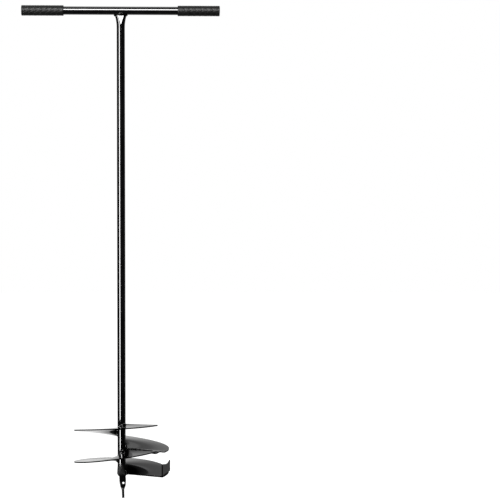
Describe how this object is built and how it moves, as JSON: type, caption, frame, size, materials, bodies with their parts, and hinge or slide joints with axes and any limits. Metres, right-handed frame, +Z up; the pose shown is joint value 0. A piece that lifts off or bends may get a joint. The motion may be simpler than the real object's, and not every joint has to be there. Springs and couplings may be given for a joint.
{
  "type": "post hole digger",
  "caption": "Hand earth auger: T-handle with rubber grips on a tube shaft, helical sheet flights with a side cutter, and a twisted point.",
  "frame": {"origin": "where the axis of the T-handle crosses the axis of the shaft", "axes": "+Z up along the shaft, +X along the handle to its right grip, -Y the front"},
  "size_m": [0.417, 0.2, 1.0362],
  "materials": {
    "black_paint": "gloss black paint on steel tube, sheet and bar",
    "weld_paint": "the same black paint over lumpy weld metal",
    "grip_rubber": "matt black moulded rubber with raised diamonds"
  },
  "bodies": {
    "root": {"handle_tube": "black_paint", "shaft_tube": "black_paint", "left_grip": "grip_rubber", "right_grip": "grip_rubber", "upper_flight": "black_paint", "lower_flight": "black_paint", "side_cutter": "black_paint", "point_bar": "black_paint", "handle_weld": "weld_paint", "upper_flight_weld": "weld_paint", "lower_flight_weld": "weld_paint", "upper_flight_top_weld": "weld_paint", "lower_flight_top_weld": "weld_paint", "seam_weld": "weld_paint", "side_cutter_weld": "weld_paint", "point_weld": "weld_paint"}
  },
  "joints": []
}
